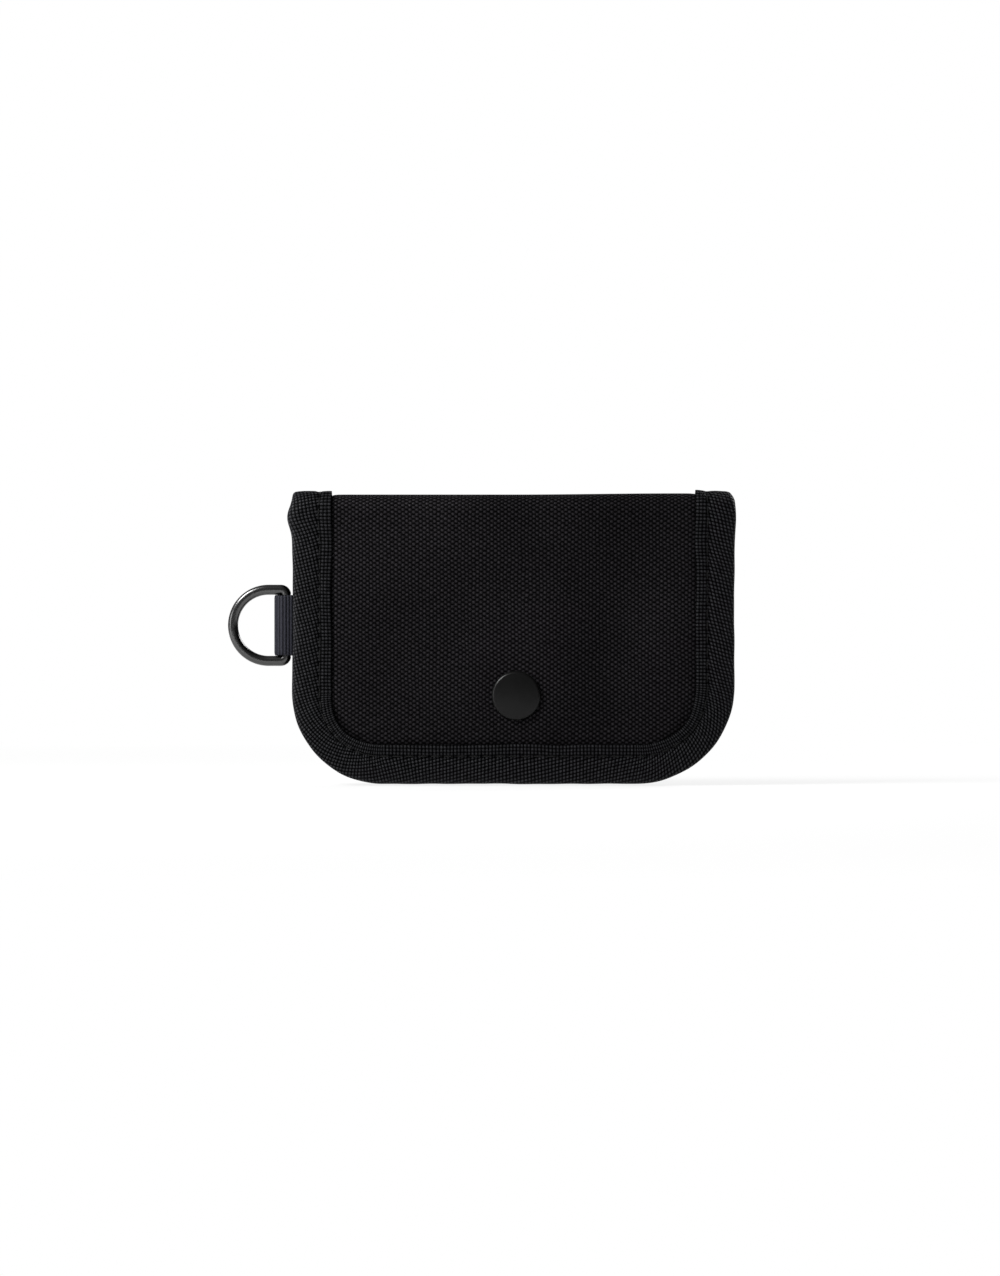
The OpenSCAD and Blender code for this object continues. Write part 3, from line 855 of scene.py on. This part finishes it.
def tape_points(side, offset):
    """Grid of the tape's surface: offset 0 is its outside, TAPE_T its inside.

    A row runs from the outer leg's inner line out to the seam, round the nose of
    the edge and in along the inner leg. Also returns the tape's cloth coordinates,
    its painted shade, in the seam's groove and darkest at the needle holes, and the
    columns of its two seams.
    """
    run, x, height, nx, nh, out = edge_path()
    near_crown = smooth(FOLD_Z - 6, FOLD_Z, height)
    corner = np.abs(nx * nh) * 2
    edge_t = {"back": BACK_EDGE_T, "flap": FLAP_EDGE_T}[side]
    edge_t = edge_t + (FLAP_EDGE_T - edge_t) * near_crown
    proud = PROUD[side] + (PROUD["flap"] - PROUD[side]) * near_crown
    nose_r = (edge_t + proud) / 2

    outer_w = TAPE_OUTER_W + 0.22 * ripple(run, 3.3, (53, 31)) - 1.0 * corner
    seam = TAPE_STITCH - 0.35 * corner
    along_leg = np.concatenate([np.linspace(0, 0.6, 6, endpoint=False),
                                np.linspace(0.6, 1.4, 7, endpoint=False),
                                np.linspace(1.4, 2, 11, endpoint=False)])
    leg = np.where(along_leg < 1, outer_w + (seam - outer_w) * along_leg,
                   seam + (nose_r - seam) * (along_leg - 1))
    groove = np.exp(-((leg - seam) / 0.75) ** 2)
    from_hole = STITCH_PITCH / math.pi * np.sin(math.pi * run / STITCH_PITCH)
    holes = np.exp(-(from_hole / 0.8) ** 2)
    pull = 0.5 + 1.3 * holes
    puff = PUFF * np.sin(math.pi * np.clip((leg - 0.6) / (seam - 0.6), 0, 1))
    puff = puff + PUFF / 3 * np.sin(math.pi * np.clip((leg - seam) / (outer_w - seam), 0, 1))
    gather = 0.10 * corner * np.sin(2 * math.pi * run / 4.7) * np.clip(leg / seam, 0, 1)
    curl = np.where(x > 0, 0.75, 0.30) * smooth(FOLD_Z + 1, CROWN, height)
    curl = curl * np.clip(leg / outer_w, 0, 1) ** 3
    uneven = 0.06 * ripple(run + 2 * leg, 1.3, (17, 11, 29))
    edge_dip = 0.12 * np.exp(-(outer_w - leg) / 0.5)
    leg_depth = offset - proud + SEAM_DEPTH * groove * pull + edge_dip
    leg_depth = leg_depth - puff - gather - curl - uneven

    turn = np.linspace(0, math.pi, 13)[None, :]
    reach = nose_r - offset
    nose = nose_r - reach * np.sin(turn)
    nose_depth = (edge_t - proud) / 2 - reach * np.cos(turn)

    inner_w = TAPE_INNER_W + 0.15 * ripple(run, 5.1, (43, 27))
    inner = nose_r + (inner_w - nose_r) * np.linspace(0, 1, 16)[1:]
    inner_groove = np.exp(-((inner - inner_w + INNER_SEAM) / 0.6) ** 2)
    inner_depth = edge_t - offset - INNER_SEAM_DEPTH * inner_groove * pull

    inset = beside(leg, nose, inner)
    reach_in = inset - out * near_edge(inset)
    points = wrap(side, x + nx * reach_in, height + nh * reach_in,
                  beside(leg_depth, nose_depth, inner_depth))
    # Painted shade in the seam's groove, darkest at the needle holes
    shade = beside(groove * (0.2 + 0.8 * holes), np.zeros(nose.shape), np.zeros(inner.shape))
    width = outer_w - beside(leg, nose_r - nose_r * turn, 2 * nose_r - nose_r * math.pi - inner)
    skew = np.clip(x / (HALF_W - CORNER_R[LEFT]), -1, 1) ** 3
    seams = (int(np.argmin(np.abs(along_leg - 1))),
             leg.shape[1] + turn.shape[1] + int(np.argmax(inner_groove[0])))
    return points, triples(run + 50, width, skew), shade, seams


def build_binding(side):
    """Tape folded round the edge of one half, with the seam on both its legs."""
    outside, cloth, shade, seams = tape_points(side, 0.0)
    inside = tape_points(side, TAPE_T)[0]
    piece = Piece()
    piece.sheet(outside, inside, cloth, shade=shade)
    normals = grid_normals(outside)
    middle = (len(outside) // 2, seams[0])
    if np.dot(normals[middle], outside[middle] - inside[middle]) < 0:
        normals = -normals
    for column in seams:
        add_stitches(piece, outside[:, column], normals[:, column], STITCH_PITCH, 1)
    binding = piece.build(f"binding_tape_{side}", [tape_cloth, thread_black])
    nodes = {"back": ["binding_back"], "flap": ["binding_flap", "binding_spine"]}[side]
    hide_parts(*nodes)
    blend_half(binding, side)


# ---- Pockets ----

POCKET_T = 0.6
POCKET_ROW_STEP = 1.8
MOUTH_SAG = 1.2
MOUTH_SAG_REACH = 28
RIBBON_T = 0.4
RIBBON_LEG = 7.0
RIBBON_SEAM = 5.5
RIBBON_STITCH = 3.2
RIBBON_THREAD_R = 0.22


def build_pocket(node, top, face, rim, wall, lift_mm, snap_hole=False):
    """A pocket's front cloth and the folded ribbon along its mouth.

    The cloth rises between the two insets of wall, from its rim's depth to the
    depth of its face, to stand clear of what the pocket holds.
    """
    x, height = panel_grid(LAYER_INSET, top, INNER_COLUMNS, POCKET_ROW_STEP)
    across = x / np.abs(x).max(axis=1, keepdims=True)
    height = height - MOUTH_SAG * smooth(top - MOUTH_SAG_REACH, top, height) * (1 - across ** 2)
    lift = cloth_lift(x, height, inset_at(x, height) < wall[1], lift_mm)
    field = face - POCKET_T
    rise = smooth(*wall, inset_at(x, height))
    off_snap = smooth(5, 14, from_snap(x, height)) if snap_hole else 1
    slack = 0.12 * ripple(x + 0.7 * height, rim, (43, 26, 17))
    depth = rim + (field - rim) * rise + (lift * off_snap + slack) * rise
    if snap_hole:
        depth = depth + (field - depth) * (1 - off_snap) * (height > BOTTOM + wall[1] + 6)
    piece = Piece()
    piece.sheet(wrap("back", x, height, depth), wrap("back", x, height, depth + POCKET_T),
                flat_cloth(x, height))
    pocket = piece.build(f"{node}_cloth", [pocket_cloth])
    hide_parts(node)
    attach(pocket, "back")

    mouth = np.abs(x[-1]) < HALF_W - wall[0] - 1.5
    build_mouth_ribbon(node, x[-1][mouth], height[-1][mouth], depth[-1][mouth] + POCKET_T / 2)


def build_mouth_ribbon(node, x, top, middle):
    """Ribbon folded over a pocket's mouth and sewn down.

    x, top and middle run along the mouth; middle is the depth of the cloth's middle.
    """
    fold_r = POCKET_T / 2 + 0.05
    turn = np.linspace(0, math.pi, 9)
    leg = np.linspace(RIBBON_LEG, 0, 9)[:-1]
    leg_side = np.ones(leg.shape)
    x, top, middle = x[:, None], top[:, None], middle[:, None]
    uneven = 0.15 * ripple(x, 4.2, (37, 21, 12))

    def face(offset):
        reach = fold_r + RIBBON_T - offset
        drop = np.concatenate([leg, -reach * np.sin(turn), leg[::-1]])[None, :]
        out = reach * np.concatenate([leg_side, np.cos(turn), -leg_side])
        seam_dip = 0.08 * np.exp(-((drop - RIBBON_SEAM) / 0.5) ** 2) * np.sign(out)
        height = top + 0.05 - drop + uneven * (drop > 3)
        return wrap("back", x, height, middle + out - seam_dip), drop

    outside, drop = face(0.0)
    inside = face(RIBBON_T)[0]
    piece = Piece()
    piece.sheet(outside, inside, triples(x + 200, drop + 50, 0.0))
    front_seam = int(np.argmin(np.abs(leg - RIBBON_SEAM)))
    back_seam = outside.shape[1] - 1 - front_seam
    for seam, toward in ((front_seam, -1.0), (back_seam, 1.0)):
        normals = np.tile([0.0, toward, 0.0], (len(outside), 1))
        add_stitches(piece, outside[:, seam], normals, RIBBON_STITCH, 1, RIBBON_THREAD_R)
    ribbon = piece.build(f"{node}_ribbon", [ribbon_cloth, thread_black])
    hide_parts(f"{node}_trim")
    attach(ribbon, "back")


# ---- Snap ----

def lathe(piece, profile, centre, segments=96):
    """Turns a profile of (radius, depth) points about the snap's axis."""
    turn = np.linspace(0, 2 * math.pi, segments, endpoint=False)
    radius, depth = np.array(profile, float).T
    points = triples(centre[0] + radius[:, None] * np.cos(turn), -depth[:, None],
                     centre[1] + radius[:, None] * np.sin(turn))
    piece.tube(points, np.zeros(3))


CAP_DOME = 0.42
CAP_RIM = 1.25
CAP_PRONG_R = 2.2
CAP_PRONG = 2.6


def build_cap():
    """Snap cap: a nearly flat face with a soft round rim that turns in to the cloth."""
    flat_r = CAP_R - CAP_RIM
    rim_depth = CAP_FRONT - CAP_DOME - CAP_RIM
    profile = [(share * flat_r, CAP_FRONT - CAP_DOME * share ** 2)
               for share in np.linspace(0.02, 1, 14)]
    profile += [(flat_r + CAP_RIM * math.sin(turn), rim_depth + CAP_RIM * math.cos(turn))
                for turn in np.linspace(0, math.pi / 2, 12)[1:]]
    profile += [(CAP_R, BODY_T + 0.12 * (CAP_FRONT - BODY_T)),
                (CAP_R - 0.25, BODY_T + 0.02),
                (CAP_R - 0.9, BODY_T + 0.02),
                (CAP_R - 1.0, BODY_T + 0.6),
                (CAP_PRONG_R, BODY_T + 0.6),
                (CAP_PRONG_R - 0.2, BODY_T - CAP_PRONG)]
    piece = Piece()
    lathe(piece, profile, (SNAP_X, SNAP_Z))
    cap = piece.build("snap_cap_cover", [cap_enamel], sharp_deg=60)
    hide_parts("snap_cap")
    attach(cap, "flap")


def paint_cad_snap():
    """The inner snap parts keep their CAD shape and get their metals."""
    for node, metal in (("snap_socket", snap_metal), ("snap_stud", snap_metal),
                        ("snap_eyelet", snap_metal), ("snap_spring", spring_metal)):
        mesh = frame["nodes"][node].data
        mesh.materials.clear()
        mesh.materials.append(metal)


# ---- D-ring and its tab ----

RING_STOCK_W = 3.75
RING_BAR_R = 1.7
RING_CORNERS = 40


def ring_path():
    """Centre line of the D-ring: x, z from the bar's middle, and the outward angle."""
    bow_r = (RING_HIGH[2] - RING_LOW[2] - RING_STOCK_W) / 2
    bow_x = RING_LOW[0] + RING_STOCK_W / 2 + bow_r
    bend_r = RING_STOCK_W / 2 + 0.05
    bend_x, bend_z = BAR_X - bend_r, bow_r - bend_r

    def bend(x, z, r, turns):
        return [(x + r * math.cos(turn), z + r * math.sin(turn), turn) for turn in turns]

    path = bend(bow_x, 0, bow_r, np.linspace(math.pi / 2, 3 * math.pi / 2, 49))
    path += [(x, -bow_r, 3 * math.pi / 2) for x in np.linspace(bow_x, bend_x, 8)[1:]]
    path += bend(bend_x, -bend_z, bend_r, np.linspace(-math.pi / 2, 0, 10)[1:])
    path += [(BAR_X, z, 0.0) for z in np.linspace(-bend_z, bend_z, 16)[1:]]
    path += bend(bend_x, bend_z, bend_r, np.linspace(0, math.pi / 2, 10)[1:])
    path += [(x, bow_r, math.pi / 2) for x in np.linspace(bend_x, bow_x, 8)[1:-1]]
    x, z, out = np.array(path).T
    on_bar = np.clip(1 - (BAR_X - x) / 0.8, 0, 1) * (np.abs(z) < bend_z + 0.1)
    return x, z, out, on_bar


def build_ring():
    """D-ring swept from a rounded, slightly flattened section, round on its bar."""
    x, z, out, on_bar = (value[:, None] for value in ring_path())
    stock_t = RING_HIGH[1] - RING_LOW[1]
    half_w = RING_STOCK_W / 2 * (1 - on_bar) + RING_BAR_R * on_bar
    half_t = stock_t / 2 * (1 - on_bar) + RING_BAR_R * on_bar
    corners = np.linspace(0, 2 * math.pi, RING_CORNERS, endpoint=False)
    reach = half_w * np.sign(np.cos(corners)) * np.abs(np.cos(corners)) ** 0.85
    through = half_t * np.sign(np.sin(corners)) * np.abs(np.sin(corners)) ** 0.95
    piece = Piece()
    points = triples(x + np.cos(out) * reach, BAR_Y + through, BAR_Z + z + np.sin(out) * reach)
    piece.surface(points, np.zeros(3), loop_rows=True, loop_columns=True)
    ring = piece.build("d_ring_metal", [ring_metal])
    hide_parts("d_ring")
    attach(ring, "ring")


WEBBING_T = 1.0
# Depth of the binding's inner face, where the webbing's ends are sewn on
TAIL_DEPTH = BACK_EDGE_T + 0.15
TAB_ROW_STEP = 0.145
# Distances of its two seams from the webbing's ends
TAB_SEAMS = (2.0, 5.5)
TAB_STITCH = 3.2


def tab_line():
    """Middle line of the webbing: x, depth, from the inner layer's end round to the outer's."""
    loop_r = RING_BAR_R + 0.2 + WEBBING_T / 2
    nose_x = TAB_LOW[0] + WEBBING_T / 2 - 0.4
    loop_x = (nose_x + BAR_X + loop_r) / 2
    root_x, tail_x = LAYER_INSET - HALF_W, TAB_HIGH[0]
    first_layer = TAIL_DEPTH + WEBBING_T / 2
    second_layer = TAIL_DEPTH + 1.5 * WEBBING_T
    line = [(tail_x, first_layer), (root_x, first_layer)]
    line += [(loop_x + (loop_x - nose_x) * math.cos(turn), loop_r * math.sin(turn) - BAR_Y)
             for turn in np.linspace(math.radians(-98), math.radians(-270), 22)]
    line += [(0.5 - HALF_W, loop_r - 0.7 - BAR_Y), (root_x + 1.4, second_layer),
             (tail_x, second_layer)]
    line = np.array(line)
    coarse = run_along(line)
    run = np.linspace(0, coarse[-1], int(coarse[-1] / TAB_ROW_STEP))
    line = read_along(run, coarse, line)
    for _ in range(14):
        line[1:-1] = (line[:-2] + 2 * line[1:-1] + line[2:]) / 4
    return run[:, None], line


def build_tab():
    """Webbing round the ring's bar, its two ends sewn on the inner face of the edge."""
    run, line = tab_line()
    along = unit(np.gradient(line, axis=0))
    normal = np.stack([along[:, 1], -along[:, 0]], 1)

    half = (TAB_HIGH[2] - TAB_LOW[2]) / 2 + 0.2
    share = np.array([-1, -0.97, -0.9, -0.75, -0.5, -0.25, 0, 0.25, 0.5, 0.75, 0.9, 0.97, 1])
    round_edge = np.sqrt(np.clip(1.06 - np.abs(share) ** 30, 0.2, 1))
    rib = 0.11 * np.abs(np.sin(math.pi * run / WEBBING_RIB))
    thickness = (WEBBING_T / 2 - 0.09 + rib) * round_edge
    z = BAR_Z + half * share * (1 + 0.02 * ripple(run, 2.2, (19, 11)))

    def face(sign):
        x = line[:, :1] + sign * normal[:, :1] * thickness
        depth = line[:, 1:] + sign * normal[:, 1:] * thickness
        return triples(x, -depth, z)

    piece = Piece()
    piece.sheet(face(1), face(-1), triples(run + 20, z + 100, 0.0))
    seam_z = np.linspace(BAR_Z - half + 1.5, BAR_Z + half - 1.5, 40)
    front = np.full(40, -(TAIL_DEPTH + 2 * WEBBING_T + 0.02))
    for from_tail in TAB_SEAMS:
        seam = np.stack([np.full(40, TAB_HIGH[0] - from_tail), front, seam_z], 1)
        add_stitches(piece, seam, np.tile([0.0, -1.0, 0.0], (40, 1)), TAB_STITCH, 1, 0.25)
    tab = piece.build("ring_tab_webbing", [webbing_cloth, thread_black])
    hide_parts("ring_tab")
    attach(tab, "back")


# ---- Stage, light and camera ----

def build_floor():
    """Plain pale floor under the bottom edge; it fades into the white far away.

    Near the wallet it also glows in reflections only, a painted light that
    brightens the downward faces of the glossy parts.
    """
    bpy.ops.mesh.primitive_plane_add(size=60, location=(0, 0, (BOTTOM - 0.6) * MM))
    floor = bpy.context.object
    floor.name = "floor"
    s = Shader("floor_white")
    s.finish(grey(0.85), 0.9, Specular_IOR_Level=0.0)
    away = s.new("ShaderNodeVectorMath")
    away.operation = "LENGTH"
    s.put(away.inputs[0], s.place("Object"))
    to_camera = s.ramp(away.outputs["Value"], 0.1, 0.7, 0.8, 1.0)
    # Painted light: near the wallet the floor glows, though it is no lamp, but only in reflections
    glow_in_reflections = s.ramp(away.outputs["Value"], 0.12, 0.35, 0.6, 0.0)
    glow = s.math("MULTIPLY", s.ray("Is Camera Ray"), to_camera)
    glow = s.math("MULTIPLY_ADD", s.ray("Is Glossy Ray"), glow_in_reflections, glow)
    mixer = s.new("ShaderNodeMixShader")
    s.put(mixer.inputs[0], glow)
    s.put(mixer.inputs[1], s.bsdf.outputs[0])
    s.put(mixer.inputs[2], s.new("ShaderNodeEmission").outputs[0])
    s.put(s.tree.nodes["Material Output"].inputs["Surface"], mixer.outputs[0])
    floor.data.materials.append(s.material)


def build_world():
    """White to the camera; as a light soft and dimmer, brightest from above and the left."""
    world = bpy.data.worlds.new("studio")
    bpy.context.scene.world = world
    world.use_nodes = True
    s = Nodes(world.node_tree)
    split = s.new("ShaderNodeSeparateXYZ")
    s.put(split.inputs[0], s.place("Generated"))
    from_above = s.ramp(split.outputs["Z"], -0.3, 1.0, 0.20, 0.34)
    from_left = s.ramp(split.outputs["X"], -0.5, 0.45, 1.4, 0.05)
    strength = s.new("ShaderNodeMix")
    s.put(strength.inputs["Factor"], s.ray("Is Camera Ray"))
    s.put(strength.inputs["A"], s.math("MULTIPLY", from_above, from_left))
    s.put(strength.inputs["B"], 1.0)
    background = s.tree.nodes["Background"]
    s.put(background.inputs["Strength"], strength.outputs["Result"])
    s.put(background.inputs["Color"], (1, 1, 1, 1))


def add_light(name, place, size, watts):
    """Square soft light at place (in metres), aimed at the wallet's middle."""
    data = bpy.data.lights.new(name, "AREA")
    data.size = size
    data.energy = watts
    lamp = add_object(name, data)
    lamp.location = place
    to_wallet = -lamp.location
    lamp.rotation_euler = to_wallet.to_track_quat("-Z", "Y").to_euler()


# The picture is this many times as high as the wallet, and centred left of its middle
FRAME_HEIGHTS = 4.369
AIM_X = -5.0


def build_camera():
    """Straight at the flap through a long lens, framed as the photograph is."""
    frame_height = FRAME_HEIGHTS * (TOP - BOTTOM) * MM
    data = bpy.data.cameras.new("camera")
    data.lens = 135
    data.sensor_width = 36
    camera = add_object("camera", data)
    distance = frame_height * data.lens / data.sensor_width
    camera.location = (AIM_X * MM, -BODY_T * MM - distance, 0)
    camera.rotation_euler = (math.pi / 2, 0, 0)
    bpy.context.scene.camera = camera


for half in ("back", "flap"):
    build_cover(half)
    build_lining(half)
    build_binding(half)
build_pocket("passport_pocket", PASSPORT_MOUTH, PASSPORT_FACE, rim=2.12, wall=(10.8, 14.5),
             lift_mm=0.5)
build_pocket("card_pocket", CARD_MOUTH, CARD_FACE, rim=2.80, wall=(10.4, 13.0), lift_mm=0.35,
             snap_hole=True)
build_cap()
paint_cad_snap()
build_ring()
build_tab()
build_floor()
build_world()
build_camera()
add_light("key_upper_left", (-0.48, -0.33, 0.48), 0.30, 7.4)
add_light("side_left", (-0.75, -0.38, 0.10), 0.28, 1.2)
add_light("back_upper_right", (0.9, 0.8, 0.7), 0.6, 15)
bpy.context.scene.view_settings.view_transform = "Standard"
